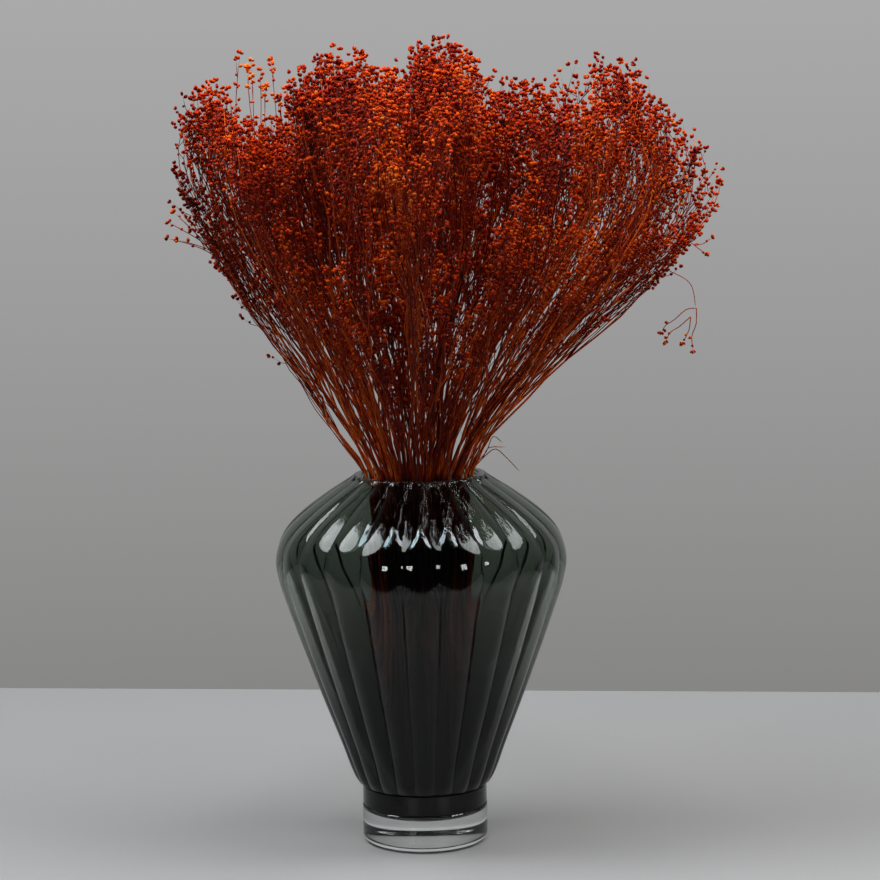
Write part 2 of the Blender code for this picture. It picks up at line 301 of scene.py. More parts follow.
LOOSE_SPRIGS = {           # the spray that each grows on, and its depth
    35: [(DROOPING_SPRIG, -0.01), (SIDE_SPRIG, 0.01), (BARE_TWIGS_RIGHT, 0.0)],
    39: [(FANNED_SPRIG, -0.01), (BARE_TWIGS_LEFT, -0.012)],
}

# Tall sprigs that stand clear of the crown on its left, side by side
TALL_TIPS = (0.561, 0.551, 0.556, 0.549, 0.538, 0.556, 0.530, 0.536, 0.541, 0.526)
TALL_FROM = -0.1195        # the first stands here, the others beside it to the right
TALL_STEP = 0.0042
TALL_BASE = 0.485
TALL_ON = 26               # the spray they grow on
TALL_FOOT = ((-0.004, 0.010), (-0.035, 0.025))     # sideways from the tip, and in depth
TALL_BOW = 0.003
TALL_BOW_TURN = 3.0
TALL_LEVELS = 6
TALL_TONES = (0.50, 0.85)
TALL_TUFTS = (4, 5)
TALL_FIRST_BUD = (0.60, 0.72)
TALL_BUDS = (0.80, 0.88, 0.95)
TALL_SIDE_LEAN = (15.0, 35.0)      # its two side stalks
TALL_SIDE_LENGTHS = (0.008, 0.016)
TALL_SIDE_TUFT = 3

# Studio
TABLE_SIZE = (5.0, 0.86, 1.0)
TABLE_PLACE = (0.0, 0.05, -0.0003)
TABLE_TURN = -5.3          # degrees
TABLE_COLOUR = (0.240, 0.236, 0.231, 1.0)
WALL_SLOPES = (-0.24, 0.02)    # the wall is darkest where seen below the first
WALL_SHADES = [
    (0.0, (0.225, 0.223, 0.219)),
    (0.5, (0.320, 0.320, 0.320)),
    (1.0, (0.405, 0.405, 0.405)),
]
ROOM_SLOPES = (0.3, 0.95)  # the room that only lights is bright behind the object alone
ROOM_SHADES = [(0.0, (0.022, 0.022, 0.023)), (1.0, (0.260, 0.260, 0.260))]
LIT_POINT = (0.0, 0.0, 0.25)
SOFTBOXES = [              # name, place, width and depth, watts, colour
    ("over_left", (-1.0, -0.05, 1.6), (1.1, 1.1), 34.0, (0.94, 0.97, 1.0)),
    ("over_right", (1.0, -0.05, 1.6), (1.1, 1.1), 28.0, (0.94, 0.97, 1.0)),
    ("over_back", (0.15, 0.15, 1.9), (0.45, 1.1), 8.0, (1.0, 0.97, 0.93)),
    ("top_left", (-0.28, -0.33, 1.6), (0.20, 0.65), 8.0, (0.72, 0.88, 1.0)),
    ("top_right", (0.25, -0.33, 1.6), (0.16, 0.65), 6.4, (0.94, 0.92, 1.0)),
]
TABLE_LAMP = ("table_front", (0.0, -0.75, 0.9), (2.4, 0.2), 3.5, (1.0, 0.99, 0.98))
TABLE_LAMP_POINT = (0.0, -0.42, 0.0)
TABLE_LAMP_SPREAD = 60.0   # degrees
GLINT_LAMPS = [            # seen only as small square highlights on the glass
    ("front_left", (-0.85, -2.0, 1.15), (0.42, 0.42), 18.0, (1.0, 0.98, 0.95)),
    ("front_right", (1.25, -1.8, 1.15), (0.42, 0.42), 18.0, (1.0, 0.98, 0.95)),
]
CAMERA_PLACE = (0.0, -2.07, 0.574)
CAMERA_DIP = 7.85          # degrees below level
CAMERA_ROLL = -0.9
CAMERA_LENS = 121.0
CAMERA_SHIFT = 0.0234
CAMERA_SENSOR = 36.0
SEED = 52


# ---------------------------------------- small helpers

def mix(start, end, share):
    return start + (end - start) * share


def clamp(value, low=0.0, high=1.0):
    return min(max(value, low), high)


def smooth_step(value):
    value = clamp(value)
    return value * value * (3.0 - 2.0 * value)


def unit(vector):
    return vector / np.linalg.norm(vector)


def side_of(direction, turn):
    """A unit vector square to the direction, turned about it by the given angle."""
    helper = SIDEWAYS if abs(direction[0]) < MOSTLY else BACKWARD
    first = unit(np.cross(direction, helper))
    second = np.cross(direction, first)
    return first * math.cos(turn) + second * math.sin(turn)


def place_along(points, share):
    """The place at this share of a stalk, and the stretch of it there."""
    level = (len(points) - 1) * share
    low = min(int(level), len(points) - 2)
    return mix(points[low], points[low + 1], level - low), points[low + 1] - points[low]


def add_object(name, data):
    obj = bpy.data.objects.new(name, data)
    bpy.context.scene.collection.objects.link(obj)
    return obj


def finish_piece(obj, slot, *nodes):
    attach(obj, BODY)
    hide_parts(*nodes)


# ---------------------------------------- materials

def new_material(name):
    material = bpy.data.materials.new(name)
    material.use_nodes = True
    return material, material.node_tree, material.node_tree.nodes["Principled BSDF"]


def add_node(tree, kind, **settings):
    node = tree.nodes.new(kind)
    for name, value in settings.items():
        setattr(node, name, value)
    return node


def set_inputs(node, values):
    for name, value in values.items():
        node.inputs[name].default_value = value


def add_ramp(tree, stops):
    ramp = add_node(tree, "ShaderNodeValToRGB")
    elements = ramp.color_ramp.elements
    while len(elements) < len(stops):
        elements.new(0.5)
    for element, (position, colour) in zip(elements, stops):
        element.position = position
        element.color = (*colour, 1.0)
    return ramp


def add_axes(tree, kind):
    """The X, Y and Z of each point in one of the kinds of texture space."""
    place = add_node(tree, "ShaderNodeTexCoord")
    split = add_node(tree, "ShaderNodeSeparateXYZ")
    tree.links.new(place.outputs[kind], split.inputs["Vector"])
    return split.outputs


def add_share(tree, source, low, high):
    """0 where the source is low and 1 where it is high."""
    share = add_node(tree, "ShaderNodeMapRange")
    set_inputs(share, {"From Min": low, "From Max": high})
    tree.links.new(source, share.inputs["Value"])
    return share.outputs["Result"]


def let_light_through(shader):
    set_inputs(shader, {"Roughness": 0.0, "IOR": GLASS_IOR, "Transmission Weight": 1.0})


def smoked_glass():
    """Grey-green smoke, thin at the shoulder and nearly black where the glass gathers low down."""
    material, tree, shader = new_material("smoked_glass")
    share = add_share(tree, add_axes(tree, "Object")["Z"], *SMOKE_HEIGHTS)
    smoke = add_ramp(tree, [
        (0.0, (0.006, 0.006, 0.006)),
        (0.40, (0.030, 0.033, 0.030)),
        (0.75, (0.180, 0.205, 0.180)),
        (1.0, (0.310, 0.357, 0.315)),
    ])
    tree.links.new(share, smoke.inputs["Fac"])
    tree.links.new(smoke.outputs["Color"], shader.inputs["Base Color"])
    set_inputs(shader, {"Specular Tint": (0.36, 0.36, 0.36, 1.0)})
    let_light_through(shader)
    return material


def clear_glass():
    """Nearly colourless, faintly uneven as poured glass is."""
    material, tree, shader = new_material("clear_glass")
    streaks = add_node(tree, "ShaderNodeTexNoise")
    set_inputs(streaks, {"Scale": 40.0})
    tint = add_ramp(tree, [(0.3, (0.90, 0.94, 0.93)), (0.7, (0.95, 0.97, 0.965))])
    tree.links.new(streaks.outputs["Fac"], tint.inputs["Fac"])
    tree.links.new(tint.outputs["Color"], shader.inputs["Base Color"])
    let_light_through(shader)
    return material


def tone_group():
    """Mottles a piece's own tone with fine noise: used by buds and stems alike."""
    group = bpy.data.node_groups.new("dried_tone", "ShaderNodeTree")
    for name, way in (("Mottle Scale", "INPUT"), ("Mottle Amount", "INPUT"),
                      ("Tone", "OUTPUT"), ("Grain", "OUTPUT")):
        group.interface.new_socket(name, in_out=way, socket_type="NodeSocketFloat")
    inputs = add_node(group, "NodeGroupInput")
    outputs = add_node(group, "NodeGroupOutput")
    tone = add_node(group, "ShaderNodeAttribute", attribute_name="tone")
    place = add_node(group, "ShaderNodeTexCoord")
    noise = add_node(group, "ShaderNodeTexNoise")
    set_inputs(noise, {"Detail": 3.0})
    group.links.new(place.outputs["Object"], noise.inputs["Vector"])
    group.links.new(inputs.outputs["Mottle Scale"], noise.inputs["Scale"])
    centred = add_node(group, "ShaderNodeMath", operation="SUBTRACT")
    centred.inputs[1].default_value = 0.5
    group.links.new(noise.outputs["Fac"], centred.inputs[0])
    scaled = add_node(group, "ShaderNodeMath", operation="MULTIPLY")
    group.links.new(centred.outputs["Value"], scaled.inputs[0])
    group.links.new(inputs.outputs["Mottle Amount"], scaled.inputs[1])
    summed = add_node(group, "ShaderNodeMath", operation="ADD", use_clamp=True)
    group.links.new(tone.outputs["Fac"], summed.inputs[0])
    group.links.new(scaled.outputs["Value"], summed.inputs[1])
    group.links.new(summed.outputs["Value"], outputs.inputs["Tone"])
    group.links.new(noise.outputs["Fac"], outputs.inputs["Grain"])
    return group


def dried_material(name, group, stops, roughness, gloss, mottle_scale, bump):
    material, tree, shader = new_material(name)
    tone = add_node(tree, "ShaderNodeGroup", node_tree=group)
    set_inputs(tone, {"Mottle Scale": mottle_scale, "Mottle Amount": 0.5})
    colours = add_ramp(tree, stops)
    tree.links.new(tone.outputs["Tone"], colours.inputs["Fac"])
    tree.links.new(colours.outputs["Color"], shader.inputs["Base Color"])
    relief = add_node(tree, "ShaderNodeBump")
    set_inputs(relief, {"Strength": bump, "Distance": 0.0004})
    tree.links.new(tone.outputs["Grain"], relief.inputs["Height"])
    tree.links.new(relief.outputs["Normal"], shader.inputs["Normal"])
    set_inputs(shader, {"Roughness": roughness, "Specular IOR Level": gloss})
    return material


def bud_material(group):
    stops = [
        (0.0, (0.040, 0.001, 0.0002)),
        (0.35, (0.220, 0.006, 0.0004)),
        (0.65, (0.530, 0.045, 0.001)),
        (1.0, (0.780, 0.170, 0.009)),
    ]
    return dried_material(
        "dried_bud", group, stops, roughness=0.34, gloss=0.04, mottle_scale=500.0, bump=0.3)


def stem_material(group):
    stops = [
        (0.0, (0.020, 0.0010, 0.0003)),
        (0.5, (0.260, 0.013, 0.001)),
        (1.0, (0.740, 0.120, 0.007)),
    ]
    return dried_material(
        "dried_stem", group, stops, roughness=0.55, gloss=0.10, mottle_scale=160.0, bump=0.4)


# ---------------------------------------- glass

def smooth_outline(points, steps):
    """A smooth curve through the points, whose numbers all change together (Catmull-Rom)."""
    result = []
    for index in range(len(points) - 1):
        p0 = points[max(index - 1, 0)]
        p1 = points[index]
        p2 = points[index + 1]
        p3 = points[min(index + 2, len(points) - 1)]
        for step in range(steps):
            t = step / steps
            result.append(tuple(
                0.5 * (2 * b + (c - a) * t + (2 * a - 5 * b + 4 * c - d) * t * t
                       + (3 * b - a - 3 * c + d) * t ** 3)
                for a, b, c, d in zip(p0, p1, p2, p3)
            ))
    result.append(points[-1])
    return result


def wall_at(height):
    share = (height - FLOOR_HEIGHT) / (RIM_HEIGHT - FLOOR_HEIGHT)
    return mix(WALL_AT_FLOOR, WALL_AT_RIM, clamp(share))


def corner_rings(radius, height, corner):
    return [(radius + out, height + up, 0.0) for out, up in corner]


def inner_outline():
    """Inside of the bowl, fluted like the outside, from the mouth to the edge of its floor."""
    points = [(MOUTH_RADIUS, RIM_HEIGHT - MOUTH_EDGE, 0.0)]
    # the outline's first two and last three points shape the rim and the collar alone
    for index in range(2, len(BOWL_OUTLINE) - 3):
        above, (radius, height, depth), below = BOWL_OUTLINE[index - 1:index + 2]
        along = (below[0] - above[0], below[1] - above[1])
        length = math.hypot(*along)
        wall = wall_at(height)
        place = (radius + wall * along[1] / length, height - wall * along[0] / length)
        points.append((*place, FLUTE_INSIDE * depth))
    return points + corner_rings(FLOOR_RADIUS, FLOOR_HEIGHT, FLOOR_CORNER)


def turned_piece(name, rings):
    """A closed turned solid from (radius, height, flute depth) rings, pole to pole."""
    form = bmesh.new()
    loops = []
    for radius, height, depth in rings:
        if radius == 0.0:
            loops.append([form.verts.new((0.0, 0.0, height))])
            continue
        loop = []
        for side in range(GLASS_SIDES):
            angle = math.tau * side / GLASS_SIDES
            across = (angle + math.pi / 2) * FLUTES / math.tau
            drawn_in = 1.0 - depth * (2.0 * (across - round(across))) ** 2
            reach = radius * drawn_in
            place = (reach * math.cos(angle), reach * math.sin(angle), height)
            loop.append(form.verts.new(place))
        loops.append(loop)
    for upper, lower in zip(loops, loops[1:]):
        for side in range(GLASS_SIDES):
            after = (side + 1) % GLASS_SIDES
            corners = [upper[side % len(upper)], lower[side % len(lower)]]
            if len(lower) > 1:
                corners.append(lower[after])
            if len(upper) > 1:
                corners.append(upper[after])
            form.faces.new(corners)
    bmesh.ops.recalc_face_normals(form, faces=form.faces)
    mesh = bpy.data.meshes.new(name)
    form.to_mesh(mesh)
    form.free()
    mesh.shade_smooth()
    mesh.set_sharp_from_angle(angle=math.radians(SHARP_FROM))
    return add_object(name, mesh)


def make_bowl(material):
    outside = smooth_outline(BOWL_OUTLINE, OUTLINE_STEPS)
    outside[0] = (RIM_RADIUS, RIM_HEIGHT - RIM_EDGE, 0.0)
    lip = corner_rings(MOUTH_RADIUS, RIM_HEIGHT, MOUTH_CORNER)
    lip += corner_rings(RIM_RADIUS, RIM_HEIGHT, RIM_CORNER)
    collar = corner_rings(COLLAR_RADIUS, COLLAR_TOP, COLLAR_CORNER)
    collar.append((COLLAR_RADIUS, SMOKE_UNDERSIDE[0][1] + COLLAR_RING, 0.0))
    collar += [(radius, height, 0.0) for radius, height in SMOKE_UNDERSIDE]
    collar.append((0.0, SMOKE_UNDERSIDE[-1][1], 0.0))
    inside = smooth_outline(inner_outline(), OUTLINE_STEPS) + [(0.0, FLOOR_HEIGHT, 0.0)]
    bowl = turned_piece("fluted_bowl", inside[::-1] + lip + outside + collar)
    bowl.data.materials.append(material)
    finish_piece(bowl, "smoked_glass", "vase_bowl")


def make_foot(material):
    """The two glasses are fused: the bowl's rounded underside is sunk into the clear foot."""
    brim = SMOKE_UNDERSIDE[0][1] - SEAT_GAP
    rings = [(0.0, brim, 0.0), (SMOKE_UNDERSIDE[0][0], brim, 0.0)]
    rings += corner_rings(FOOT_RADIUS, brim, BRIM_CORNER)
    rings.append((FOOT_RADIUS, FOOT_ROUNDING + FLAT_RING, 0.0))
    for step in range(FOOT_ROUND_STEPS + 1):
        turn = math.pi / 2 * step / FOOT_ROUND_STEPS
        radius = FOOT_RADIUS - FOOT_ROUNDING * (1.0 - math.cos(turn))
        rings.append((radius, FOOT_ROUNDING * (1.0 - math.sin(turn)), 0.0))
    rings += [(FOOT_RADIUS - FOOT_ROUNDING - FLAT_RING, 0.0, 0.0), (0.0, 0.0, 0.0)]
    foot = turned_piece("clear_foot", rings)
    foot.data.materials.append(material)
    finish_piece(foot, "clear_glass", "vase_foot")


# ---------------------------------------- bunch

def bunch_point(across, along, height):
    """Where the stem line (across, along) of the unit disc runs at this height."""
    bearing = math.atan2(along, across)
    mouth_depth = MOUTH_SPREAD if along < 0.0 else MOUTH_SPREAD_BACK
    if height <= RIM_HEIGHT:
        share = (height - FLOOR_HEIGHT) / (RIM_HEIGHT - FLOOR_HEIGHT)
        width = mix(STAND_RADIUS, MOUTH_SPREAD, share)
        depth = mix(STAND_RADIUS, mouth_depth, share)
        return np.array((across * width, along * depth, height))
    reach = REACH_MEAN + REACH_RIGHT * math.cos(bearing) + REACH_SIDES * math.cos(2.0 * bearing)
    share = min((height - RIM_HEIGHT) / (SPREAD_TOP - RIM_HEIGHT), 1.0)
    lean = LEAN_MEAN + LEAN_RIGHT * math.cos(bearing)
    upright = UPRIGHT_MEAN + UPRIGHT_RIGHT * math.cos(bearing)
    share = (lean * share * (1.0 - share) ** 2 + smooth_step(share)
             - upright * share ** 2 * (1.0 - share))
    width = mix(MOUTH_SPREAD, reach, share)
    depth = mix(mouth_depth, reach, share)
    return np.array((across * width, along * depth, height))


def exposure(across, along, height):
    """0 deep inside the bunch, 1 at its outside: inside are fewer twigs, with larger buds and a
    little painted shade.
    """
    sideways = smooth_step((math.hypot(across, along) - INSIDE_WITHIN) / INSIDE_FADE)
    below_crown = crown_at(across, along) - height
    return max(sideways, 1.0 - smooth_step((below_crown - INSIDE_BELOW) / INSIDE_FADE_BELOW))


def crown_at(across, along):
    """Height of the crown over this line of the bunch."""
    place = bunch_point(across, along, SPREAD_TOP)
    tallest = np.interp(place[0], *zip(*CROWN_LINE))
    return tallest - CROWN_FALL * (place[1] / REACH_MEAN) ** 2


def bud_form():
    """One bud of radius 1 on its base at the origin: a tapered calyx, round body, blunt tip."""
    sides = BUD_SIDES
    top = 1 + sides
    places = []
    shades = []
    faces = []
    for radius, height, shade in BUD_RINGS:
        for side in range(sides if radius else 1):
            turn = math.tau * side / sides
            places.append((radius * math.cos(turn), radius * math.sin(turn), height))
            shades.append(shade)
    for side in range(sides):
        after = (side + 1) % sides
        faces.append((0, 1 + after, 1 + side))
        faces.append((1 + side, 1 + after, top + after))
        faces.append((1 + side, top + after, top + side))
        faces.append((top + side, top + after, top + sides))
    return np.array(places), np.array(faces), np.array(shades)


BUD_PLACES, BUD_FACES, BUD_SHADES = bud_form()


class Growth:
    """Collects the stalks or the buds of one spray and makes them one mesh."""

    def __init__(self):
        self.places = []
        self.faces = []
        self.tones = []
        self.count = 0
        self.fullness = 1.0

    def add(self, places, faces, tones):
        self.places.append(places)
        self.faces.append(faces + self.count)
        self.tones.append(tones)
        self.count += len(places)

    def add_stalk(self, points, radii, sides, tone):
        """A stalk along the points that ends in a point at the last one."""
        points = np.asarray(points)
        along = np.gradient(points, axis=0)
        along /= np.linalg.norm(along, axis=1)[:, None]
        helper = BACKWARD if abs(along[0][1]) < MOSTLY else SIDEWAYS
        first = np.cross(along, helper)
        first /= np.linalg.norm(first, axis=1)[:, None]
        second = np.cross(along, first)
        turns = np.arange(sides) * math.tau / sides
        spokes = (first[:, None] * np.cos(turns)[None, :, None]
                  + second[:, None] * np.sin(turns)[None, :, None])
        rings = points[:-1, None] + spokes[:-1] * np.asarray(radii)[:, None, None]
        corner = np.arange(sides)
        after = (corner + 1) % sides
        faces = [np.array([[0, step + 1, step] for step in range(1, sides - 1)])]
        for level in range(len(points) - 2):
            low = level * sides
            high = low + sides
            faces.append(np.stack([low + corner, low + after, high + after], axis=1))
            faces.append(np.stack([low + corner, high + after, high + corner], axis=1))
        last = (len(points) - 2) * sides
        end = np.full(sides, last + sides)
        faces.append(np.stack([last + corner, last + after, end], axis=1))
        places = np.concatenate([rings.reshape(-1, 3), points[-1:]])
        # painted shade inside the vase and painted light in the neck, by height
        shades = np.interp(places[:, 2], *zip(*STALK_PAINTED_LIGHT_AND_SHADE))
        self.add(places, np.concatenate(faces), tone + shades)

    def add_bud(self, base, direction, radius, spin, tone):
        first = side_of(direction, spin)
        second = np.cross(direction, first)
        turned = np.stack([first, second, direction])
        places = base + (BUD_PLACES * radius) @ turned
        self.add(places, BUD_FACES, np.clip(tone + BUD_SHADES, 0.0, 1.0))

    def make(self, name, material):
        """The mesh of all that was added, with its tones."""
        places = np.concatenate(self.places)
        faces = np.concatenate(self.faces)
        mesh = bpy.data.meshes.new(name)
        mesh.vertices.add(len(places))
        mesh.vertices.foreach_set("co", places.ravel())
        mesh.loops.add(faces.size)
        mesh.loops.foreach_set("vertex_index", faces.ravel())
        mesh.polygons.add(len(faces))
        mesh.polygons.foreach_set("loop_start", np.arange(0, faces.size, 3))
        mesh.update(calc_edges=True)
        mesh.shade_smooth()
        tone = mesh.attributes.new("tone", "FLOAT", "POINT")
        tone.data.foreach_set("value", np.concatenate(self.tones))
        mesh.materials.append(material)
        return add_object(name, mesh)


def lean_from(direction, degrees, turn):
    """A unit vector that leans away from the direction, to the side given by the turn."""
    angle = math.radians(degrees)
    return unit(direction * math.cos(angle) + side_of(direction, turn) * math.sin(angle))


def add_single(buds, place, heading, tone, chance):
    radius = BUD_RADIUS * buds.fullness * chance.uniform(*BUD_SIZES)
    tone += chance.gauss(0.0, BUD_TONE_SPREAD)
    buds.add_bud(place, heading, radius, chance.uniform(0.0, BUD_SPIN), tone)


def add_tuft(buds, place, direction, number, tone, chance):
    """A few buds on one tip, leaning apart."""
    spin = chance.uniform(0.0, math.tau)
    for bud in range(number):
        lean = chance.uniform(*(TUFT_LEAN if bud else TUFT_FIRST_LEAN))
        heading = lean_from(direction, lean, spin + bud * math.tau / max(number - 1, 1))
        add_single(buds, place, heading, tone, chance)


def add_side_buds(buds, points, shares, tone, chance):
    """Single buds that sit along a stalk, one after another round it."""
    turn = chance.uniform(0.0, math.tau)
    for share in shares:
        place, stretch = place_along(points, share)
        turn += GOLDEN_ANGLE
        heading = lean_from(unit(stretch), chance.uniform(*SIDE_BUD_LEAN), turn)
        add_single(buds, place, heading, tone, chance)


def add_panicle(stems, buds, points, tone, chance):
    """Twiglets with buds along the end of a twig, and a tuft on its tip."""
    points = np.asarray(points)
    tip_heading = unit(points[-1] - points[-2])
    add_tuft(buds, points[-1], tip_heading, chance.choice(END_TUFTS), tone, chance)
    shares = [chance.uniform(*span) for span in END_BUDS]
    add_side_buds(buds, points, shares, tone, chance)
    turn = chance.uniform(0.0, math.tau)
    for number in range(TWIGLETS):
        share = TWIGLET_FROM - TWIGLET_STEP * (number + chance.random())
        start, stretch = place_along(points, share)
        turn += GOLDEN_ANGLE + chance.uniform(-TWIGLET_TURN_UNEVEN, TWIGLET_TURN_UNEVEN)
        heading = lean_from(unit(stretch), chance.uniform(*TWIGLET_LEAN), turn)
        length = chance.uniform(*TWIGLET_LENGTHS) * (1.0 + TWIGLET_LONGER * number)
        middle = start + heading * length * 0.5
        upward = unit(heading + UPWARD * TWIGLET_RISE)
        end = middle + upward * length * 0.5
        stems.add_stalk([start, middle, end], TWIGLET_RADII, TWIG_SIDES, tone)
        add_tuft(buds, end, upward, TWIGLET_TUFT, tone, chance)
        shares = [chance.uniform(*span) for span in TWIGLET_BUDS]
        add_side_buds(buds, (start, middle, end), shares, tone, chance)


def stem_line(start, spread, heights, chance, bow=1.0):
    """A line that leaves the disc point start and moves by spread on its way up."""
    across, along = start
    phase = chance.uniform(0.0, math.tau)
    wave = chance.uniform(*SWAYS)
    kink = chance.uniform(*KINKS)
    kinks = math.tau / chance.uniform(*KINK_LENGTHS)
    ease, ease_from = KINKS_EASE
    line = []
    for height in heights:
        share = (height - heights[0]) / (heights[-1] - heights[0])
        swing = math.sin(phase + SWAY_TURN * share) - math.sin(phase)
        sway = wave * (1.0 - SWAY_SETTLED * share) * swing
        side = across + spread[0] * share ** bow + sway
        depth = along + spread[1] * share ** bow - sway
        inside = min(1.0, 1.0 / max(math.hypot(side, depth), 0.001))
        free = smooth_step((height - RIM_HEIGHT - KINKS_FROM) / KINKS_GROW)
        free *= min(1.0, ease * (share + ease_from))
        bend = kink * free / bunch_point(1.0, 0.0, height)[0]
        side = side * inside + bend * math.sin(2.0 * phase + kinks * height)
        depth = depth * inside + bend * math.cos(3.0 * phase + kinks * height)
        line.append((side, depth, height))
    return line


def point_on(line, height):
    """Where a stem line is in the disc at this height."""
    heights = [point[2] for point in line]
    return tuple(np.interp(height, heights, [point[axis] for point in line]) for axis in range(2))


def add_head(stems, buds, branch, tone, chance):
    """Thin twigs that leave the upper part of a branch and end in one loose head of buds."""
    base = branch[0][2]
    tip = branch[-1][2]
    sparse = tip <= SPARSE_BELOW
    drop = SPARSE_DROP * TWIG_DROP if sparse else TWIG_DROP
    for twig in range(SPARSE_TWIGS if sparse else TWIGS):
        fork = max(tip - chance.uniform(*TWIG_FORKS), mix(base, tip, TWIG_LOWEST), LOWEST_FORK)
        low = point_on(branch, fork)
        high = (branch[-1][0] - low[0], branch[-1][1] - low[1])
        turn = twig * GOLDEN_ANGLE + chance.uniform(-TURN_UNEVEN, TURN_UNEVEN)
        spread = TWIG_SPREAD * math.sqrt(chance.uniform(TWIG_LEAST_SPREAD, 1.0))
        spread = (high[0] + spread * math.cos(turn), high[1] + spread * math.sin(turn))
        end = tip - drop * chance.random() ** TWIG_DROP_CURVE
        line = stem_line(low, spread, list(np.linspace(fork, end, TWIG_LEVELS)), chance)
        points = [bunch_point(*point) for point in line]
        inside = 1.0 - exposure(*line[-1])
        if chance.random() < INSIDE_SPARSER * inside:
            continue
        buds.fullness = 1.0 + INSIDE_FULLER * inside
        steps = TWIG_LEVELS - 1
        radii = [mix(TWIG_RADIUS, TWIGLET_RADIUS, step / (steps - 1)) for step in range(steps)]
        # painted shade deep inside the bunch
        twig_tone = tone + chance.gauss(0.0, TWIG_TONE_SPREAD) + INSIDE_PAINTED_SHADE * inside
        stalk_tone = twig_tone + chance.uniform(*TWIG_STALK_TONES)
        stems.add_stalk(points, radii, TWIG_SIDES, stalk_tone)
        add_panicle(stems, buds, points, twig_tone, chance)


def drop_below_crown(goal, tier, chance):
    """Many heads reach the crown; the others of one spray hang together in a tier below it."""
    if chance.random() < CROWN_HEADS:
        return chance.uniform(0.0, CROWN_UNEVEN)
    outward = min(math.hypot(*goal), 1.0) ** 2 + max(-goal[1], 0.0)
    deepest = TIER_DEPTH + TIER_DEPTH_OUTSIDE * clamp(outward, TIER_LEAST_OUTSIDE)
    return mix(HIGHEST_TIER, deepest, clamp(tier + chance.uniform(-TIER_UNEVEN, TIER_UNEVEN)))


def head_height(goal, tier, chance):
    """How high a head over this place of the disc ends: low heads only show at the front."""
    tip = crown_at(*goal) - CROWN_CLEARANCE - drop_below_crown(goal, tier, chance)
    front = max(-goal[1], 0.0) * (1.0 - min(goal[0] ** 2, 1.0))
    lowest = mix(LOWEST_SIDE_HEAD, LOWEST_HEAD, front)
    return max(tip, lowest + chance.uniform(0.0, LOWEST_UNEVEN))


def add_sprig(stems, buds, depth, stalks, chance):
    """A loose sprig: its stalks in the plane at this depth, with buds at the ends of some."""
    tone = chance.uniform(*SPRIG_TONES)
    for number, line in stalks:
        line = smooth_outline(line, SPRIG_STEPS)
        points = np.array([(side, depth + SPRIG_DRIFT * step, height)
                           for step, (side, height) in enumerate(line)])
        radii = np.linspace(TWIG_RADIUS, TWIGLET_RADIUS, len(points) - 1)
        stems.add_stalk(points, radii, BRANCH_SIDES, tone)
        if number:
            add_tuft(buds, points[-1], unit(points[-1] - points[-2]), number, tone, chance)
            add_side_buds(buds, points, SPRIG_BUDS, tone, chance)


def add_tall_sprigs(stems, buds, chance):
    """Sparse sprigs, each with a tuft, single buds and a stalk to either side."""
    for number, tip in enumerate(TALL_TIPS):
        side = TALL_FROM + TALL_STEP * number
        foot, depth = [chance.uniform(*span) for span in TALL_FOOT]
        bow = chance.uniform(-TALL_BOW, TALL_BOW)
        levels = np.linspace(0.0, 1.0, TALL_LEVELS)
        points = np.array([
            (mix(side + foot, side, level) + bow * math.sin(TALL_BOW_TURN * level), depth,
             mix(TALL_BASE, tip, level))
            for level in levels
        ])
        tone = chance.uniform(*TALL_TONES)
        radii = np.linspace(TWIG_RADIUS, TWIGLET_RADIUS, TALL_LEVELS - 1)
        stems.add_stalk(points, radii, TWIG_SIDES, tone)
        tip_heading = unit(points[-1] - points[-2])
        add_tuft(buds, points[-1], tip_heading, chance.choice(TALL_TUFTS), tone, chance)
        shares = (chance.uniform(*TALL_FIRST_BUD), *TALL_BUDS)
        add_side_buds(buds, points, shares, tone, chance)
        for side_of_stalk in (0.0, math.pi):
            heading = lean_from(UPWARD, chance.uniform(*TALL_SIDE_LEAN), side_of_stalk)
            start = mix(points[-3], points[-2], chance.random())
            end = start + heading * chance.uniform(*TALL_SIDE_LENGTHS)
            radii = (TWIGLET_RADIUS, TWIGLET_RADIUS)
            stems.add_stalk([start, mix(start, end, 0.5), end], radii, TWIG_SIDES, tone)
            add_tuft(buds, end, heading, TALL_SIDE_TUFT, tone, chance)


def branch_root(start, trunk, tip, chance):
    """Where a branch begins and the heights it passes: on the floor, or at a fork of the stem."""
    whole = STANDING_HEIGHTS + [
        mix(RIM_HEIGHT + ABOVE_MOUTH, tip, (level / (STANDING_LEVELS - 1)) ** LEVEL_CURVE)
        for level in range(STANDING_LEVELS)
    ]
    if not trunk:
        return start, whole
    away = ROOT_SPREAD * math.sqrt(chance.random())
    turn = chance.uniform(0.0, math.tau)
    if chance.random() < (OWN_ROOTS - 1) / (HEADS - 1):
        root = (start[0] * ROOT_GATHER + away * math.cos(turn),
                start[1] * ROOT_GATHER + away * math.sin(turn))
        shrink = min(1.0, ROOT_WITHIN / math.hypot(*root))
        return (root[0] * shrink, root[1] * shrink), whole
    fork = min(chance.uniform(LOWEST_FORK, HIGHEST_FORK), tip - SHORTEST_FORKED)
    levels = [mix(fork, tip, level / (FORKED_LEVELS - 1)) for level in range(FORKED_LEVELS)]
    return point_on(trunk, fork), levels


def branch_radii(heights, leader, chance):
    """The leader is the spray's stem. What stands in the vase is thicker there."""
    thick = (STEM_RADIUS if leader else BRANCH_RADIUS) * chance.uniform(*THICKNESSES)
    steps = len(heights) - 1
    radii = [mix(thick, TWIGLET_RADIUS, (step / steps) ** TAPER) for step in range(steps)]
    if heights[0] < RIM_HEIGHT:
        radii[:len(STANDING_END)] = [thick * share for share in STANDING_END]
    return radii


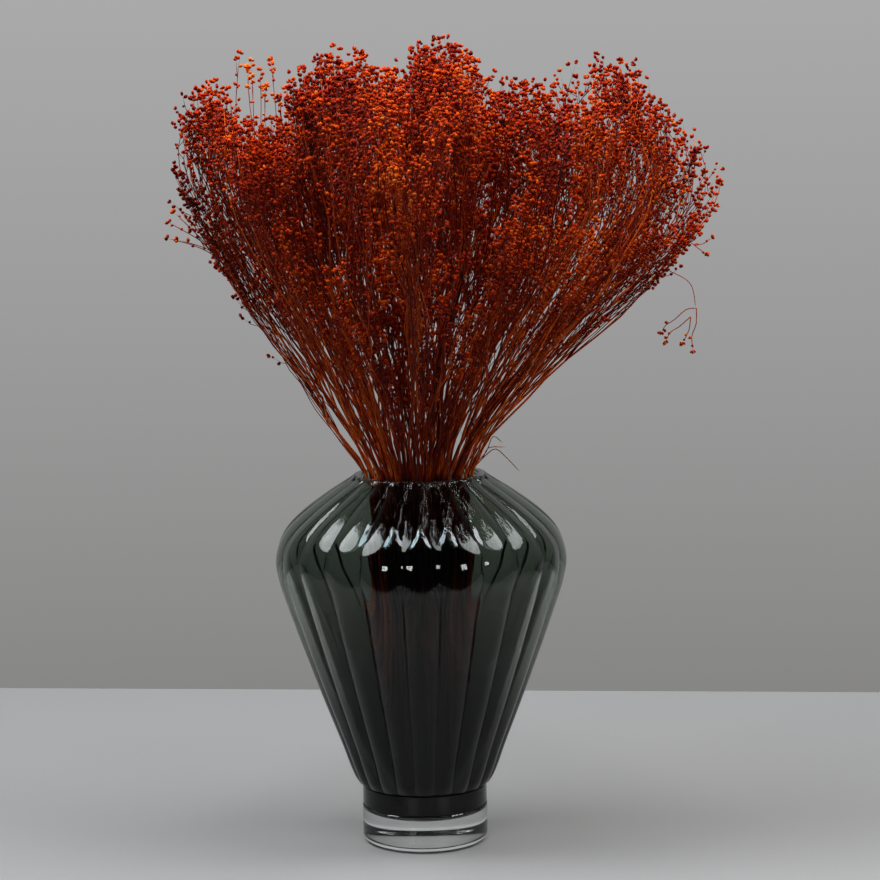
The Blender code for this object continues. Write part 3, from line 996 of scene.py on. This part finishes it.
def add_low_buds(stems, buds, points, chance):
    """Short stalks with one or two buds, scattered between the mouth of the vase and the heads."""
    points = np.asarray(points)
    levels = points[:, 2]
    for _ in range(LOW_BUDS):
        height = RIM_HEIGHT + mix(*LOW_BUD_HEIGHTS, chance.random() ** LOW_BUD_CURVE)
        start = np.array([np.interp(height, levels, points[:, axis]) for axis in range(3)])
        heading = lean_from(UPWARD, chance.uniform(*LOW_BUD_LEAN), chance.uniform(0.0, math.tau))
        middle = start + heading * chance.uniform(*LOW_BUD_LENGTHS)
        end = middle + unit(heading + UPWARD) * chance.uniform(*LOW_BUD_LENGTHS)
        tone = chance.uniform(*LOW_BUD_TONES)
        stems.add_stalk([start, middle, end], TWIGLET_RADII, TWIG_SIDES, tone)
        add_tuft(buds, end, heading, chance.choice(LOW_TUFTS), tone, chance)


def make_spray(index, chance, stem_finish, bud_finish):
    """One spray: its branches with their heads, its low buds and the sprigs that grow on it."""
    stems = Growth()
    buds = Growth()
    radius = math.sqrt((index + 0.5) / SPRAYS)
    bearing = index * GOLDEN_ANGLE
    start = (radius * math.cos(bearing), radius * math.sin(bearing))
    turn = chance.uniform(0.0, math.tau)
    tier = chance.random()
    spray_tone = chance.gauss(*SPRAY_TONE)
    trunk = []
    for head in range(HEADS):
        turn += GOLDEN_ANGLE + chance.uniform(-TURN_UNEVEN, TURN_UNEVEN)
        out = HEAD_SPREAD * math.sqrt((head + HEAD_UNEVEN * chance.random()) / HEADS)
        goal = (start[0] + out * math.cos(turn), start[1] + out * math.sin(turn))
        tip = head_height(goal, tier, chance)
        root, heights = branch_root(start, trunk, tip, chance)
        spread = (goal[0] - root[0], goal[1] - root[1])
        line = stem_line(root, spread, heights, chance, BRANCH_BOW)
        trunk = trunk or line
        points = [bunch_point(*point) for point in line]
        radii = branch_radii(heights, head == 0, chance)
        # painted light and shade: stems at the sides of the mouth orange, those in its middle dark
        # red
        outside = smooth_step((abs(root[0]) - MIDDLE_STEMS) / MIDDLE_STEMS_FADE)
        stem_tone = mix(SHADED_MIDDLE_STEM_TONE, LIT_OUTER_STEM_TONE, outside) + chance.uniform(*STEM_TONES)
        stems.add_stalk(points, radii, BRANCH_SIDES if head else STEM_SIDES, stem_tone)
        tone = clamp(spray_tone + chance.gauss(0.0, HEAD_TONE_SPREAD), *HEAD_TONES)
        add_panicle(stems, buds, points, tone, chance)
        add_head(stems, buds, line, tone, chance)
        buds.fullness = 1.0
        if head < LOW_BUD_BRANCHES:
            # a bare branch goes through the same draws, and what it grows is thrown away
            bare = abs(root[0]) > BARE_SIDES
            grown = (Growth(), Growth()) if bare else (stems, buds)
            add_low_buds(*grown, points, chance)
    for sprig, depth in LOOSE_SPRIGS.get(index + 1, []):
        add_sprig(stems, buds, depth, sprig, chance)
    if index + 1 == TALL_ON:
        add_tall_sprigs(stems, buds, chance)
    node = f"broom_spray_{index + 1:02d}"
    label = f"spray_{index + 1:02d}"
    pieces = (stems.make(f"{label}_stems", stem_finish), buds.make(f"{label}_buds", bud_finish))
    for piece in pieces:
        finish_piece(piece, "dried_bloom", node)
        piece.visible_glossy = start[1] > FRONT_UNMIRRORED


# ---------------------------------------- studio

def make_table():
    """Plain pale table top with a far edge."""
    bpy.ops.mesh.primitive_plane_add(size=1.0)
    table = bpy.context.object
    table.name = "table"
    table.scale = TABLE_SIZE
    table.location = TABLE_PLACE
    table.rotation_euler = (0.0, 0.0, math.radians(TABLE_TURN))
    material, _, shader = new_material("table_paint")
    set_inputs(shader, {"Base Color": TABLE_COLOUR, "Roughness": 0.45})
    table.data.materials.append(material)


def make_world():
    """Grey wall for what is seen, darker near the table; a dim room for what only lights."""
    world = bpy.data.worlds.new("studio")
    bpy.context.scene.world = world
    world.use_nodes = True
    tree = world.node_tree
    axes = add_axes(tree, "Generated")
    wall = add_ramp(tree, WALL_SHADES)
    tree.links.new(add_share(tree, axes["Z"], *WALL_SLOPES), wall.inputs["Fac"])
    room = add_ramp(tree, ROOM_SHADES)
    tree.links.new(add_share(tree, axes["Y"], *ROOM_SLOPES), room.inputs["Fac"])
    ray = add_node(tree, "ShaderNodeLightPath")
    unseen = add_node(tree, "ShaderNodeMath", operation="ADD", use_clamp=True)
    tree.links.new(ray.outputs["Diffuse Depth"], unseen.inputs[0])
    tree.links.new(ray.outputs["Glossy Depth"], unseen.inputs[1])
    choice = add_node(tree, "ShaderNodeMix", data_type="RGBA")
    tree.links.new(unseen.outputs["Value"], choice.inputs["Factor"])
    tree.links.new(wall.outputs["Color"], choice.inputs["A"])
    tree.links.new(room.outputs["Color"], choice.inputs["B"])
    tree.links.new(choice.outputs["Result"], tree.nodes["Background"].inputs["Color"])


def add_softbox(name, location, size, power, colour, target=LIT_POINT):
    """An oval lamp, turned towards its target."""
    data = bpy.data.lights.new(name, "AREA")
    data.shape = "ELLIPSE"
    data.size, data.size_y = size
    data.energy = power
    data.color = colour
    lamp = add_object(name, data)
    lamp.location = location
    lamp.rotation_euler = (Vector(target) - Vector(location)).to_track_quat("-Z", "Y").to_euler()
    return lamp


def make_camera():
    """At the height and distance that give the rim and the foot their ellipses."""
    data = bpy.data.cameras.new("camera")
    data.sensor_width = CAMERA_SENSOR
    data.lens = CAMERA_LENS
    data.shift_x = CAMERA_SHIFT
    camera = add_object("camera", data)
    camera.location = CAMERA_PLACE
    tilt = Matrix.Rotation(math.radians(90.0 - CAMERA_DIP), 3, "X")
    roll = Matrix.Rotation(math.radians(CAMERA_ROLL), 3, "Z")
    camera.rotation_euler = (tilt @ roll).to_euler()
    bpy.context.scene.camera = camera


def make_lamps():
    for softbox in SOFTBOXES:
        add_softbox(*softbox)
    lamp = add_softbox(*TABLE_LAMP, target=TABLE_LAMP_POINT)
    lamp.data.spread = math.radians(TABLE_LAMP_SPREAD)
    lamp.visible_glossy = False
    lamp.visible_transmission = False
    for softbox in GLINT_LAMPS:
        lamp = add_softbox(*softbox)
        lamp.data.shape = "SQUARE"
        lamp.visible_diffuse = False
        lamp.visible_transmission = False


def main():
    make_bowl(smoked_glass())
    make_foot(clear_glass())
    group = tone_group()
    stem_finish = stem_material(group)
    bud_finish = bud_material(group)
    chance = random.Random(SEED)
    for index in range(SPRAYS):
        make_spray(index, chance, stem_finish, bud_finish)
    make_table()
    make_world()
    make_lamps()
    make_camera()
    bpy.context.scene.view_settings.view_transform = "Standard"


main()
